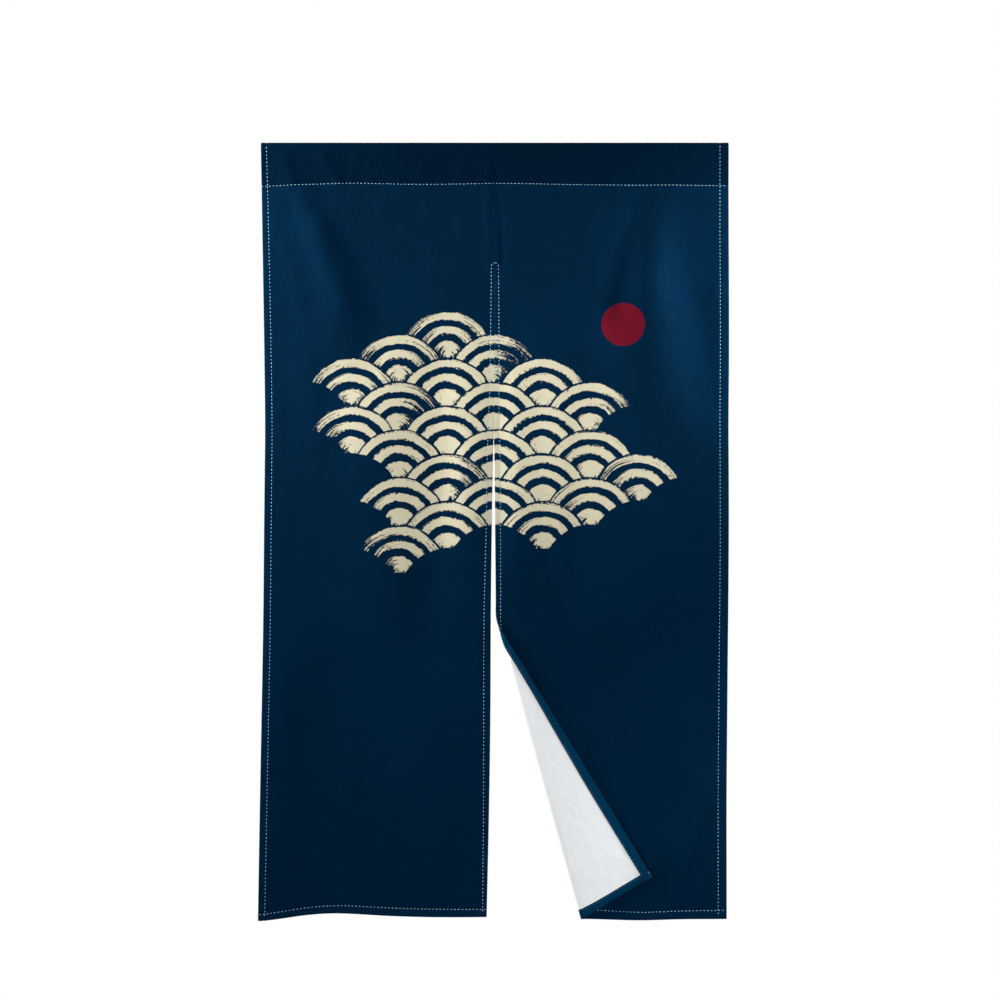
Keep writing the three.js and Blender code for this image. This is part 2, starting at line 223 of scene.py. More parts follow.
# A panel's outer edge, its edge at the slit and its foot, how far inside each its line of stitches
# runs, where the foot's line starts and ends, and the sign of x from the outer edge inward.
Side = namedtuple("Side", "edge stitch slit slit_stitch foot foot_stitch foot_line inward")
LEFT = Side(
    edge=curve_through(EDGES["depth"], EDGES["left"]),
    stitch=curve_through(*LEFT_STITCH.values()),
    slit=lambda depth: slit_lips(depth)[0],
    slit_stitch=curve_through(*SLIT_LEFT_STITCH.values()),
    foot=curve_through(*LEFT_FOOT.values()),
    foot_stitch=curve_through(*LEFT_FOOT_STITCH.values()),
    foot_line=(-431.5, -17.5),
    inward=1,
)
RIGHT = Side(
    edge=curve_through(EDGES["depth"], EDGES["right"]),
    stitch=curve_through(*RIGHT_STITCH.values()),
    slit=lambda depth: slit_lips(depth)[1],
    slit_stitch=curve_through(*SLIT_RIGHT_STITCH.values()),
    foot=curve_through(*RIGHT_FOOT.values()),
    foot_stitch=curve_through(*RIGHT_FOOT_STITCH.values()),
    foot_line=(6.0, 424.5),
    inward=-1,
)
SIDES = (LEFT, RIGHT)


# ---- Where a point of the cloth hangs ----


def risen(folds, x, depth):
    """How far forward a table's folds bring a point of the hanging cloth."""
    total = np.zeros(np.broadcast(x, depth).shape)
    for x0, depth0, x1, depth1, rise, breadth, fade_in, fade_out in zip(*folds.values()):
        length = np.hypot(x1 - x0, depth1 - depth0)
        along_x, along_depth = (x1 - x0) / length, (depth1 - depth0) / length
        run = (x - x0) * along_x + (depth - depth0) * along_depth
        off = (x - x0) * along_depth - (depth - depth0) * along_x
        start = smoothstep(run, -fade_in / 2, fade_in / 2)
        end = 1 - smoothstep(run, length, length + fade_out)
        total += rise * start * end * np.exp(-0.5 * (off / breadth) ** 2)
    return total


def hang_forward(x, depth, creased=True):
    """How far forward of the seam's plane the cloth hangs, before the corner is folded."""
    hold = smoothstep(depth, DRAPES_FROM, DRAPES_FULL)
    lean = LEAN * smoothstep(depth, LEAN_FROM, DROP)
    creases = risen(CREASES, x, depth) if creased else 0
    return risen(DRAPES, x, depth) * hold + creases + lean


FOLD_ALONG = np.array([FOLD_FOOT[0] - FOLD_START[0], FOLD_START[1] - FOLD_FOOT[1]])
FOLD_ALONG = FOLD_ALONG / np.hypot(*FOLD_ALONG)
FOLD_OUT = np.array([FOLD_ALONG[1], -FOLD_ALONG[0]])
FOLD_INSET = ROLL + CLOTH
FOLD_ARC = np.pi * ROLL


def past_roll(x, depth):
    """How far a point lies past the line where the roll starts."""
    across = (x - FOLD_START[0]) * FOLD_OUT[0] + (FOLD_START[1] - depth) * FOLD_OUT[1]
    return across + FOLD_INSET


def roll_line(past, depth):
    """x of the line that lies that far past the roll's start, at a depth."""
    return FOLD_START[0] + (past - FOLD_INSET - (FOLD_START[1] - depth) * FOLD_OUT[1]) / FOLD_OUT[0]


def place(x, depth, side):
    """Where the printed face lies: the right panel's corner is folded forward past the roll."""
    past = np.maximum(past_roll(x, depth), 0) * (side is RIGHT)
    turn = np.minimum(past / ROLL, np.pi)
    flap = np.maximum(past - FOLD_ARC, 0)
    out = ROLL * np.sin(turn) - flap
    rolled = ROLL * (1 - np.cos(turn))
    forward = rolled + (FLAP_GAP - rolled) * smoothstep(flap, 0, FLAP_SETTLE)
    flat_x = x + FOLD_OUT[0] * (out - past)
    flat_z = -depth + FOLD_OUT[1] * (out - past)
    y = -SEAM_HALF - hang_forward(flat_x, -flat_z) - forward
    return np.stack([flat_x, y, flat_z], axis=-1)


def unit(vectors):
    return vectors / np.maximum(np.linalg.norm(vectors, axis=-1, keepdims=True), 1e-9)


def across_cloth(x, depth, side):
    """The direction along the cloth to the right."""
    return unit(place(x + STEP, depth, side) - place(x - STEP, depth, side))


def up_cloth(x, depth, side):
    """The direction up the cloth."""
    return unit(place(x, depth - STEP, side) - place(x, depth + STEP, side))


def backward(x, depth, side):
    """The direction from the printed face to the back of the cloth."""
    return unit(np.cross(up_cloth(x, depth, side), across_cloth(x, depth, side)))


# ---- Closed sheets ----


def put_in_scene(name, data):
    made = bpy.data.objects.new(name, data)
    bpy.context.scene.collection.objects.link(made)
    return made


def new_object(name, points, faces, flat, materials):
    """A smooth mesh; flat is each point's u and v, for cloth in metres laid out flat."""
    mesh = bpy.data.meshes.new(name)
    mesh.from_pydata(points, [], faces)
    loops = np.empty(len(mesh.loops), dtype=np.int32)
    mesh.loops.foreach_get("vertex_index", loops)
    mesh.uv_layers.new(name="flat").data.foreach_set("uv", flat[loops].ravel())
    mesh.polygons.foreach_set("use_smooth", np.ones(len(faces), dtype=bool))
    for material in materials:
        mesh.materials.append(material)
    mesh.update()
    return put_in_scene(name, mesh)


class Sheet:
    """Points of a thin sheet on both its faces, and the cells between them."""

    def __init__(self):
        self.count = 0
        self.printed, self.white, self.flat, self.hem = [], [], [], []
        self.cells = []

    def add_points(self, printed, white, flat, hem):
        """Adds a grid of points and gives the grid of their numbers. hem is how far each takes the
        hems' painted light, a paler navy standing in for the light the turned hems catch."""
        shape = printed.shape[:-1]
        size = int(np.prod(shape))
        self.printed.append(printed.reshape(-1, 3))
        self.white.append(white.reshape(-1, 3))
        self.flat.append(flat.reshape(-1, 2))
        self.hem.append(np.broadcast_to(hem, shape).ravel())
        numbers = np.arange(self.count, self.count + size).reshape(shape)
        self.count += size
        return numbers

    def add_cells(self, numbers):
        """Joins a grid of numbers; rows go down and columns to the right, seen from the front."""
        corners = [numbers[:-1, :-1], numbers[1:, :-1], numbers[1:, 1:], numbers[:-1, 1:]]
        self.cells.append(np.stack(corners, axis=-1).reshape(-1, 4))

    def build(self, name, printed_material, back_material):
        cells = np.concatenate(self.cells)
        heads = np.concatenate([cells[:, [k, (k + 1) % 4]] for k in range(4)])
        key = heads[:, 0].astype(np.int64) * self.count + heads[:, 1]
        turned = heads[:, 1].astype(np.int64) * self.count + heads[:, 0]
        a, b = heads[~np.isin(key, turned)].T
        walls = np.stack([b, a, a + self.count, b + self.count], axis=-1)
        faces = np.concatenate([cells, cells[:, ::-1] + self.count, walls])
        points = np.concatenate(self.printed + self.white) * MM
        flat = np.concatenate(self.flat + self.flat) * MM
        piece = new_object(name, points, faces, flat, [printed_material, back_material])
        # Each point's share of the hems' painted light, kept as a point attribute.
        hem = piece.data.attributes.new("hem", "FLOAT", "POINT")
        hem.data.foreach_set("value", np.concatenate(self.hem + self.hem).astype(np.float32))
        is_back = (np.arange(len(faces)) >= len(cells)).astype(np.int32)
        piece.data.polygons.foreach_set("material_index", is_back)
        return piece


def turned_faces(sheet, border, face, normal, along, offset, turn, flat):
    """Adds a hem's points and gives the grid of their numbers, from its border on: offset lies
    behind the printed face, and along is where the hem turns to."""
    printed = face + normal * offset[..., None]
    white = printed + CLOTH * (along * np.sin(turn)[:, None] + normal * np.cos(turn)[:, None])
    # A hem's turned points take all of the hems' painted light.
    numbers = sheet.add_points(printed, white, flat, 1.0)
    return np.concatenate([border[:, None], numbers], axis=1)


def hem_stations(width):
    """A hem's cross-section: how far inside the finished edge and behind the printed face each of
    its points lies, the cloth's turn there, and the way along the cloth past the edge."""
    arc = np.linspace(0, np.pi, TURN_STEPS + 1)[1:]
    back_run = np.array([0.35, 0.7, 0.88, 1.0])
    under = np.linspace(0, np.pi, 4)[1:]
    under_run = np.array([0.5, 1.0]) * UNDER
    width = np.asarray(width)[..., None]
    fold = width - UNDER_TURN

    def spread(values):
        return np.broadcast_to(values, width.shape[:-1] + (len(values),))

    inward = np.concatenate([
        spread(TURN * (1 - np.sin(arc))),
        TURN + (fold - TURN) * back_run,
        fold + UNDER_TURN * np.sin(under),
        fold - under_run,
    ], axis=-1)
    offset = np.concatenate([
        TURN * (1 - np.cos(arc)),
        np.full(len(back_run), HEM_DEPTH),
        HEM_DEPTH - UNDER_TURN * (1 - np.cos(under)),
        np.full(len(under_run), HEM_DEPTH - 2 * UNDER_TURN),
    ])
    turn = np.concatenate([
        arc,
        np.full(len(back_run), np.pi),
        np.pi + under,
        np.full(len(under_run), 2 * np.pi),
    ])
    way = np.concatenate([
        spread(TURN * arc),
        TURN * np.pi + (fold - TURN) * back_run,
        TURN * np.pi + (fold - TURN) + UNDER_TURN * under,
        TURN * np.pi + (fold - TURN) + UNDER_TURN * np.pi + under_run,
    ], axis=-1)
    return inward, offset, turn, way


# ---- Stitched channels ----


def stitch_sink(off):
    """How far a line of stitches pulls the cloth in, at a distance off it."""
    groove = 0.3 * np.exp(-((off / 1.1) ** 2))
    hollow = 0.18 * np.exp(-((off / 4.0) ** 2))
    return groove + hollow


def inside_edge(x, depth, side):
    """How far a point lies inside the stitches of the outer edge."""
    return (x - side.edge(depth)) * side.inward - side.stitch(depth)


def inside_stitches(x, depth, side):
    """How far a point lies inside the side's, the slit's and the foot's lines of stitches."""
    slit = (side.slit(depth) - x) * side.inward - side.slit_stitch(depth)
    return inside_edge(x, depth, side), slit, side.foot(x) - side.foot_stitch(x) - depth


def sunk(x, depth, side):
    """How far back the stitches pull the printed face."""
    outer, slit, foot = (stitch_sink(off) for off in inside_stitches(x, depth, side))
    below = smoothstep(depth, SLIT_TOP - 6, SLIT_TOP)
    return np.maximum.reduce([outer, slit * below, foot, stitch_sink(depth - seam_depth(x))])


def on_hem(x, depth, side):
    """1 where the cloth is doubled by a hem, 0 elsewhere."""
    outer, slit, foot = inside_stitches(x, depth, side)
    slit = np.where(depth > SLIT_TOP, slit, outer)
    return 1 - smoothstep(np.minimum.reduce([outer, slit, foot]), -1.5, 0.5)


def surf(x, depth, side, behind):
    """A point that far behind the printed face."""
    return place(x, depth, side) + backward(x, depth, side) * np.asarray(behind)[..., None]


# ---- The cloth below the pocket ----

SLIT_HEM_RUN = 14.0  # width of the finely spaced columns beside the slit, right of it
FLAP_EASE = 14.0  # how softly the columns turn from along the slit to along the roll
FOLD_ROWS = (840.0, 1001.2)  # depths between which the corner's fold starts
FOOT_ROWS_FROM = DROP - 22.0  # depth where the foot's finely spaced rows start
SEAM_STEPS = np.array([0, 0.8, 2, 5])  # distances of the rows nearest the seam from it
SEAM_ROW = SEAM["depth"].mean()  # nominal depth of the row along the seam
BELOW_SEAM = SEAM_ROW + SEAM_STEPS[-1]
STITCH_STEPS = np.array([-0.8, 0, 0.8, 2, 5])  # where points lie about a line of stitches
LEFT_COLUMNS = 52  # between the left panel's finely spaced ones
FLAP_COLUMNS, ROLL_COLUMNS, RIGHT_COLUMNS = 14, 12, 48  # of the right panel: flap, roll and beyond
HEM_CROSSING = 6.0  # width over which the foot's hem comes down off the other hems


def spaced(start, end, count):
    """count evenly spaced numbers after start, up to end; start and end may be arrays."""
    steps = np.arange(1, count + 1) / count
    return np.asarray(start)[..., None] + (np.asarray(end) - start)[..., None] * steps


def near_stitch(inset, first, steps_before):
    """Distances from an edge for the columns beside it: close together at the stitches."""
    first = np.broadcast_to(first, inset.shape)
    before = spaced(first, inset - 2, steps_before)
    return np.concatenate([first[..., None], before, inset[..., None] + STITCH_STEPS], axis=-1)


def lip_turn(depth):
    """How far inside the slit's edges their turn starts; nothing above the slit."""
    return TURN * smoothstep(depth, SLIT_TOP - 1, SLIT_TOP + 24)


def columns(depth, side):
    """x of a panel's columns, one row for each depth; the right panel's follow the corner's roll."""
    lip_steps = near_stitch(side.slit_stitch(depth), lip_turn(depth), 3 if side is LEFT else 5)
    outer_steps = near_stitch(side.stitch(depth), TURN, 3)
    if side is LEFT:
        outer = side.edge(depth)[:, None] + outer_steps
        lip = side.slit(depth)[:, None] - lip_steps[:, ::-1]
        rest = spaced(outer[:, -1], lip[:, 0], LEFT_COLUMNS)[:, :-1]
        return np.concatenate([outer, rest, lip], axis=1)
    lip = side.slit(depth)[:, None] + lip_steps
    outer = side.edge(depth)[:, None] - outer_steps[:, ::-1]
    least = lip[:, -1] + SLIT_HEM_RUN
    roll = roll_line(FOLD_ARC, depth)
    flap_to = (roll + least + np.hypot(roll - least, FLAP_EASE)) / 2
    roll_to = np.maximum(roll_line(0, depth), flap_to + FOLD_ARC)
    flap = spaced(lip[:, -1], flap_to, FLAP_COLUMNS)
    rolled = spaced(flap_to, roll_to, ROLL_COLUMNS)
    rest = spaced(roll_to, outer[:, 0], RIGHT_COLUMNS)[:, :-1]
    return np.concatenate([lip, flap, rolled, rest, outer], axis=1)


def cloth_rows():
    """Nominal depths of the rows, from the seam to the foot's turn."""
    return np.concatenate([
        SEAM_ROW + SEAM_STEPS,
        spaced(BELOW_SEAM, SLIT_TOP, 19),
        spaced(SLIT_TOP, FOLD_ROWS[0], 82),
        spaced(*FOLD_ROWS, 40),
        spaced(FOLD_ROWS[1], FOOT_ROWS_FROM, 54),
    ])


def hung_depth(x, nominal, side):
    """The foot isn't level, and pulls the rows above it along; the first rows follow the seam."""
    from_seam = (seam_depth(x) - SEAM_ROW) * (1 - smoothstep(nominal, BELOW_SEAM, SLIT_TOP))
    from_foot = (side.foot(x) - DROP) * smoothstep(nominal, FOOT_SHIFT_FROM, DROP - FOOT_HEM)
    return nominal + from_seam + from_foot


def with_foot_rows(x, nominal, side):
    """Columns and depths of a panel, with the rows beside the foot's stitches added."""
    last = x[-1]
    steps = near_stitch(side.foot_stitch(last), TURN, 3)[:, ::-1].T
    x = np.concatenate([x, columns(DROP - steps.mean(axis=1), side)])
    above = hung_depth(x[:-len(steps)], nominal[:, None], side)
    return x, np.concatenate([above, side.foot(last) - steps])


def edge_strip(sheet, side, edge, stitch, depth, towards, border, taper=1.0):
    """A side's or the slit's hem: a strip of points behind the panel, joined to its border."""
    inward, offset, turn, way = hem_stations(stitch(depth) + STITCH_TO_FOLD)
    arc = np.arange(inward.shape[1]) < TURN_STEPS
    inward = np.where(arc, inward * np.reshape(taper, (-1, 1)), inward)
    x_edge = edge(depth)[:, None]
    x = x_edge + towards * inward
    deep = np.broadcast_to(depth[:, None], x.shape)
    along = across_cloth(x, deep, side) * towards
    flat = np.stack([x_edge - towards * (way - TURN), -deep], axis=-1)
    grid = turned_faces(sheet, border, place(x, deep, side), backward(x, deep, side), along,
                        offset, turn, flat)
    sheet.add_cells(grid[:, ::-1] if towards > 0 else grid)


def foot_strip(sheet, x, side, border):
    """The foot's hem. Its columns follow the panel's, and at its ends it lies over the side hems and
    covers their turns."""
    foot = side.foot(x)[:, None]
    inward, offset, turn, way = hem_stations(side.foot_stitch(x) + STITCH_TO_FOLD)
    turned = (1 - np.cos(np.minimum(turn, np.pi))) / 2
    over = []
    for edge, stitch in ((side.edge, side.stitch), (side.slit, side.slit_stitch)):
        width = stitch(DROP) + STITCH_TO_FOLD
        over.append(1 - smoothstep(np.abs(x - edge(DROP)), width, width + HEM_CROSSING))
    offset = offset + HEM_DEPTH * np.maximum(*over)[:, None] * turned
    depth = foot - inward
    across_x = columns(DROP - inward.mean(axis=0), side).T
    across_x[0] -= TURN * turned
    across_x[-1] += TURN * turned
    flat = np.stack([across_x, -foot - (way - TURN)], axis=-1)
    at = (across_x, depth, side)
    grid = turned_faces(sheet, border, place(*at), backward(*at), up_cloth(*at), offset, turn, flat)
    sheet.add_cells(grid.T)


def panel(sheet, nominal, side):
    """Adds a panel; gives its columns, its depths and its points' numbers."""
    x, depth = with_foot_rows(columns(nominal, side), nominal, side)
    behind = sunk(x, depth, side)
    # Points on a hem's front take part of the hems' painted light.
    numbers = sheet.add_points(
        surf(x, depth, side, behind), surf(x, depth, side, behind + CLOTH),
        np.stack([x, -depth], axis=-1), FRONT_HEM_PAINTED_LIGHT * on_hem(x, depth, side),
    )
    sheet.add_cells(numbers)
    return x, depth, numbers


def cloth_sheet():
    sheet = Sheet()
    nominal = cloth_rows()
    slit_row = int(np.argmin(np.abs(nominal - SLIT_TOP)))
    panels = [panel(sheet, nominal, side) for side in SIDES]
    ends = [panels[0][2][: slit_row + 1, -1], panels[1][2][: slit_row + 1, 0]]
    sheet.add_cells(np.stack(ends, axis=1))

    for side, (x, depth, numbers) in zip(SIDES, panels):
        outer, inner = (0, -1) if side is LEFT else (-1, 0)
        edge_strip(sheet, side, side.edge, side.stitch, depth[:, outer], side.inward,
                   numbers[:, outer])
        lip = depth[slit_row:, inner]
        edge_strip(sheet, side, side.slit, side.slit_stitch, lip, -side.inward,
                   numbers[slit_row:, inner], lip_turn(lip) / TURN)
    for side, (x, _, numbers) in zip(SIDES, panels):
        foot_strip(sheet, x[-1], side, numbers[-1])
    return sheet


# ---- The rod pocket ----

MID_POCKET = 40.0  # depth of the pocket's middle
WALL_ROWS = np.linspace(0, 1, 12)[1:-1]
LEFT_STACK_ENDS = (12, 18)  # distances from the edge over which the seam thins past the side hem
RIGHT_STACK_ENDS = (18, 24)
UNDER_WAY = 1.6  # way round the raw edge's turn


def heading_path():
    """The pocket's cross-section, up the front, over the top, down the back and up inside. Each row
    is the part it lies on, and how far along: millimetres, a share of the wall, or an angle."""
    rows = [("front", step) for step in SEAM_STEPS]
    rows += [("front_share", share) for share in WALL_ROWS]
    rows += [("top", angle) for angle in np.linspace(0, np.pi, 13)]
    rows += [("back_share", share) for share in WALL_ROWS[::-1]]
    rows += [("back", step) for step in (5, 2, 0.8, 0, -0.8, 0.6 - SEAM_EDGE)]
    rows += [("under", angle) for angle in np.linspace(0, np.pi, 5)[1:]]
    rows += [("inside", run) for run in (3, 6, SEAM_TURN)]
    return rows


def side_share(x):
    """1 over the side hems, 0 away from them."""
    left = 1 - smoothstep(x - EDGES["left"][0], *LEFT_STACK_ENDS)
    right = 1 - smoothstep(EDGES["right"][0] - x, *RIGHT_STACK_ENDS)
    return np.maximum(left, right)


def heading_section(kind, value, x):
    """y and depth of the printed face, the direction in them to the white face, and the way along
    the cloth from the seam at the front, for one row."""
    seam = seam_depth(x)
    back_y = -SEAM_HALF + SEAM_STACK + SIDE_STACK * side_share(x)
    span = seam - POCKET_RADIUS
    first = SEAM_STEPS[-1]
    up = first + (span - first) * value if kind.endswith("share") else value
    if kind.startswith("front"):
        share = up / span
        y = -SEAM_HALF - (POCKET_RADIUS - SEAM_HALF) * share
        tilt = (POCKET_RADIUS - SEAM_HALF) / span
        return y, seam - up, 1 / np.hypot(1, tilt), -tilt / np.hypot(1, tilt), up
    if kind == "top":
        y = -POCKET_RADIUS * np.cos(value)
        depth = POCKET_RADIUS * (1 - np.sin(value)) + 0 * x
        way = span + POCKET_RADIUS * value
        return y, depth, np.cos(value), np.sin(value), way
    over = span + np.pi * POCKET_RADIUS
    if kind.startswith("back"):
        share = np.clip(up / span, 0, 1)
        y = back_y + (POCKET_RADIUS - back_y) * share
        tilt = (POCKET_RADIUS - back_y) / span * (share > 0)
        return y, seam - up, -1 / np.hypot(1, tilt), -tilt / np.hypot(1, tilt), over + span - up
    low = seam + SEAM_EDGE - UNDER_TURN
    if kind == "under":
        y = back_y - UNDER_TURN * (1 - np.cos(value))
        depth = low + UNDER_TURN * np.sin(value)
        way = over + span + SEAM_EDGE + UNDER_TURN * value
        return y, depth, -np.cos(value), np.sin(value), way
    y = back_y - 2 * UNDER_TURN
    return y, low - value, 1, 0, over + span + SEAM_EDGE + UNDER_WAY + value


def heading_surface(kind, value, x):
    """The printed face, the direction to the white face, the depth, and the height on the flat
    cloth, where a depth below the seam counts as minus that depth."""
    y, depth, to_y, to_depth, way = heading_section(kind, value, x)
    forward = hang_forward(x, depth, kind.startswith("front"))
    point = np.stack([x + 0 * y, y - forward, -depth], axis=-1)
    normal = np.stack([0 * x, to_y + 0 * x, -to_depth + 0 * x], axis=-1)
    return point, normal, depth, way - seam_depth(x)


def heading_sunk(x, depth, kind):
    """How far the stitches pull in the pocket's walls."""
    parts = [stitch_sink(inside_edge(x, depth, side)) for side in SIDES]
    if kind != "top":
        parts.append(stitch_sink(depth - seam_depth(x)))
    return np.maximum.reduce(parts)


def heading_columns(depth):
    """x of the pocket's columns: both panels' at that depth."""
    return np.concatenate([columns(np.array([depth]), side)[0] for side in SIDES])


def heading_sheet():
    sheet = Sheet()
    path = heading_path()[::-1]
    open_rows = [k for k, (kind, _) in enumerate(path) if kind not in ("under", "inside")]
    middle = heading_columns(MID_POCKET)
    levels, printed, white, flat = [], [], [], []
    for k, (kind, value) in enumerate(path):
        x = heading_columns(float(np.mean(heading_section(kind, value, middle)[1])))
        point, normal, depth, up = heading_surface(kind, value, x)
        sink = heading_sunk(x, depth, kind) if k in open_rows else 0 * x
        levels.append(float(depth.mean()))
        printed.append(point + normal * sink[:, None])
        white.append(printed[-1] + normal * CLOTH)
        flat.append(np.stack([x, up], axis=-1))
    numbers = sheet.add_points(np.stack(printed), np.stack(white), np.stack(flat), 0.0)
    sheet.add_cells(numbers)

    # The side hems: strips along the open part of the section, folded to the white face.
    for side in SIDES:
        strips = []
        for k in open_rows:
            edge = side.edge(levels[k])
            inward, offset, turn, run = hem_stations(side.stitch(levels[k]) + STITCH_TO_FOLD)
            point, normal, _, up = heading_surface(*path[k], edge + side.inward * inward)
            flat = np.stack([edge - side.inward * (run - TURN), up], axis=-1)
            strips.append((point, normal, flat))
        point, normal, flat = (np.stack(grid) for grid in zip(*strips))
        border = numbers[open_rows, 0 if side is LEFT else -1]
        along = np.array([side.inward, 0, 0])
        grid = turned_faces(sheet, border, point, normal, along, offset, turn, flat)
        sheet.add_cells(grid[:, ::-1] if side is LEFT else grid)
    return sheet


# ---- Stitches ----

PITCH, DASH = 6.75, 2.8
THREAD = 0.56  # radius
DASH_RISE = np.array([-0.22, 0.14, 0.24, 0.14, -0.22])  # how proud each point of a dash stands
DASH_TAPER = np.array([0.7, 1, 1, 1, 0.7])
RING = 5  # points round a dash
ROUND_TOP = 228.0  # depth below which the slit's two lines run straight
SLIT_MIDDLE = 0.45  # x between them, where they close in an arch
SIDE_END, SLIT_END = 3, 4  # how far above the foot those lines end
SEAM_LINE = (-429.5, 430.0)  # x where the seam's stitches start and end
POCKET_EDGE = 430.0  # x of the pocket's ends, right and left
SIDE_POINTS, FOOT_POINTS, SEAM_POINTS, POCKET_POINTS = 400, 300, 600, 80  # of each line


def dashes_along(line):
    """x and depth of every dash's points, along a line of x and depth."""
    steps = np.hypot(*np.diff(line, axis=0).T)
    run = np.concatenate([[0], np.cumsum(steps)])
    starts = np.arange(0.0, run[-1] - DASH, PITCH)
    at = starts[:, None] + np.linspace(0, DASH, len(DASH_RISE))
    return [np.interp(at, run, line[:, k]) for k in (0, 1)]


def tubes(name, batches, material):
    """Bent tubes along batches of centres, each with the direction out of the cloth."""
    samples = len(DASH_RISE)
    centres, outs = (np.concatenate([part.reshape(-1, samples, 3) for part in parts])
                     for parts in zip(*batches))
    along = unit(np.gradient(centres, axis=1))
    aside = unit(np.cross(along, outs))
    lift = unit(np.cross(aside, along))
    angle = np.arange(RING) * 2 * np.pi / RING
    ring = aside[:, :, None] * np.cos(angle)[:, None] + lift[:, :, None] * np.sin(angle)[:, None]
    points = centres[:, :, None] + THREAD * DASH_TAPER[None, :, None, None] * ring
    count = len(centres)
    block = np.concatenate([points.reshape(count, -1, 3), centres[:, [0, -1]]], axis=1)
    k = np.arange(RING)
    after = (k + 1) % RING
    quads = np.concatenate([
        np.stack([k, after, RING + after, RING + k], axis=-1) + s * RING for s in range(samples - 1)
    ])
    first = samples * RING
    end = first - RING
    caps = np.concatenate([
        np.stack([np.full(RING, first), after, k], axis=-1),
        np.stack([np.full(RING, first + 1), end + k, end + after], axis=-1),
    ])
    shift = (np.arange(count) * (first + 2))[:, None, None]
    faces = (quads + shift).reshape(-1, 4).tolist() + (caps + shift).reshape(-1, 3).tolist()
    u = np.concatenate([np.repeat(np.linspace(0, DASH, samples), RING), [0, DASH]])
    v = np.concatenate([np.tile(angle, samples), [0, 0]])
    flat = np.tile(np.stack([u * MM, v], axis=-1), (count, 1))
    return new_object(name, block.reshape(-1, 3) * MM, faces, flat, [material])


def cloth_stitches(line, side, at_back):
    """A line's dashes on the cloth's front, or on the back of its hem."""
    x, depth = dashes_along(line)
    normal = backward(x, depth, side)
    if at_back:
        return surf(x, depth, side, HEM_DEPTH + DASH_RISE), normal
    return surf(x, depth, side, sunk(x, depth, side) - DASH_RISE), -normal


def heading_stitches(line, at_back):
    """A line's dashes on the pocket's front or back wall."""
    x, depth = dashes_along(line)
    seam = seam_depth(x)
    kind = "back" if at_back else "front"
    up = np.clip(seam - depth, -SEAM_EDGE, seam - POCKET_RADIUS)
    point, normal, depth, _ = heading_surface(kind, up, x)
    sink = heading_sunk(x, depth, kind)
    return point + normal * (sink - DASH_RISE)[..., None], -normal


def stitch_lines(side):
    """A panel's lines of stitches below the seam: along its outer edge, its foot and its slit."""
    down = np.linspace(0, 1, SIDE_POINTS)
    seam = SEAM_ROW + 1
    depth = seam + (DROP - SIDE_END - seam) * down
    x = side.edge(depth) + side.inward * side.stitch(depth)
    outer = np.stack([x, hung_depth(x, depth, side)], axis=-1)
    x = np.linspace(*side.foot_line, FOOT_POINTS)
    foot = np.stack([x, side.foot(x) - side.foot_stitch(x)], axis=-1)
    depth = ROUND_TOP + (DROP - SLIT_END - ROUND_TOP) * down
    x = side.slit(depth) - side.inward * side.slit_stitch(depth)
    straight = np.stack([x, hung_depth(x, depth, side)], axis=-1)
    radius = abs(x[0] - SLIT_MIDDLE)
    angle = np.linspace(np.pi / 2, 0, 12)[:-1]
    arch_x = SLIT_MIDDLE - side.inward * radius * np.cos(angle)
    arch = np.stack([arch_x, ROUND_TOP - radius * np.sin(angle)], axis=-1)
    return outer, foot, np.concatenate([arch, straight])


def stitches(name, at_back, material):
    batches = []
    for lines in zip(*map(stitch_lines, SIDES)):
        batches += [cloth_stitches(line, side, at_back) for line, side in zip(lines, SIDES)]
    x = np.linspace(*SEAM_LINE, SEAM_POINTS)
    batches.append(heading_stitches(np.stack([x, seam_depth(x)], axis=-1), at_back))
    for side in SIDES:
        low = seam_depth(-side.inward * POCKET_EDGE) - 2.0
        depth = np.linspace(low, 2.0, POCKET_POINTS)
        x = side.edge(depth) + side.inward * side.stitch(depth)
        batches.append(heading_stitches(np.stack([x, depth], axis=-1), at_back))
    return tubes(name, batches, material)


# ---- Materials ----


def fill(node, inputs):
    """Gives a node's inputs numbers, colours, Values or other nodes' outputs."""
    for key, value in inputs.items():
        slot = node.inputs[key]
        source = getattr(value, "socket", value)
        if isinstance(source, bpy.types.NodeSocket):
            node.id_data.links.new(source, slot)
        elif slot.type == "RGBA":
            slot.default_value = (*value, 1)
        else:
            slot.default_value = value


def new_node(tree, kind, inputs, **settings):
    node = tree.nodes.new("ShaderNode" + kind)
    for name, setting in settings.items():
        setattr(node, name, setting)
    fill(node, inputs)
    return node


class Value:
    """A number in a material, with arithmetic: a node's output."""

    def __init__(self, socket):
        self.socket = socket
        self.tree = socket.id_data

    def op(self, operation, *others):
        inputs = dict(enumerate((self, *others)))
        return Value(new_node(self.tree, "Math", inputs, operation=operation).outputs[0])

    def __add__(self, other):
        return self.op("ADD", other)

    def __sub__(self, other):
        return self.op("SUBTRACT", other)

    def __mul__(self, other):
        return self.op("MULTIPLY", other)

    def __truediv__(self, other):
        return self.op("DIVIDE", other)

    def rise(self, low, high):
        """0 below low, 1 above high, smooth between."""
        inputs = {"Value": self, "From Min": low, "From Max": high}
        node = new_node(self.tree, "MapRange", inputs, interpolation_type="SMOOTHSTEP")
        return Value(node.outputs[0])

    def mix(self, low, high):
        """low where this is 0, high where it is 1."""
        inputs = {0: self, 2: low, 3: high}
        return Value(new_node(self.tree, "Mix", inputs, data_type="FLOAT").outputs[0])


